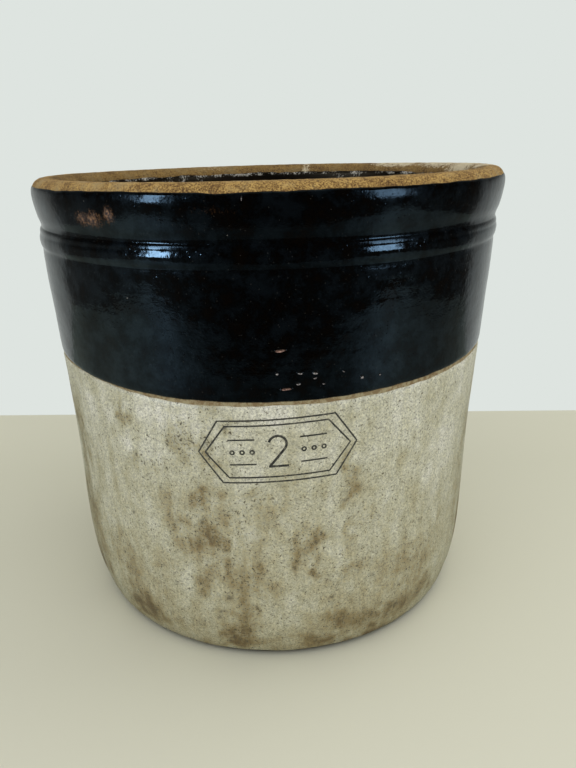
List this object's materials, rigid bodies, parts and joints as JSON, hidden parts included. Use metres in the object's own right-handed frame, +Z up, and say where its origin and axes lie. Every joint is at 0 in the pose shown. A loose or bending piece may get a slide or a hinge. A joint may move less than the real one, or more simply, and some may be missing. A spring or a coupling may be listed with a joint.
{
  "type": "stoneware crock",
  "caption": "Open straight-sided stoneware crock with a rolled bare rim, a bead, a dark glazed upper wall and a grey-white glazed lower wall, for keeping butter or pickles.",
  "frame": {"origin": "centre of the flat base, on the surface that the crock stands on", "axes": "+Z up along the turning axis, with the capacity mark facing -Y"},
  "size_m": [0.248, 0.248, 0.2358],
  "materials": {
    "stoneware_clay": "bare fired stoneware, dry and slightly sandy",
    "dark_slip_glaze": "glossy near-black slip glaze with pinholes and worn spots",
    "bristol_glaze": "dull satin grey-white glaze, stained and speckled",
    "lining_glaze": "glossy dark brown slip glaze with pale scuffs near the mouth"
  },
  "bodies": {
    "root": {"stoneware_body": "stoneware_clay", "slip_glaze_band": "dark_slip_glaze", "bristol_glaze_skirt": "bristol_glaze", "slip_glaze_lining": "lining_glaze"}
  },
  "joints": []
}
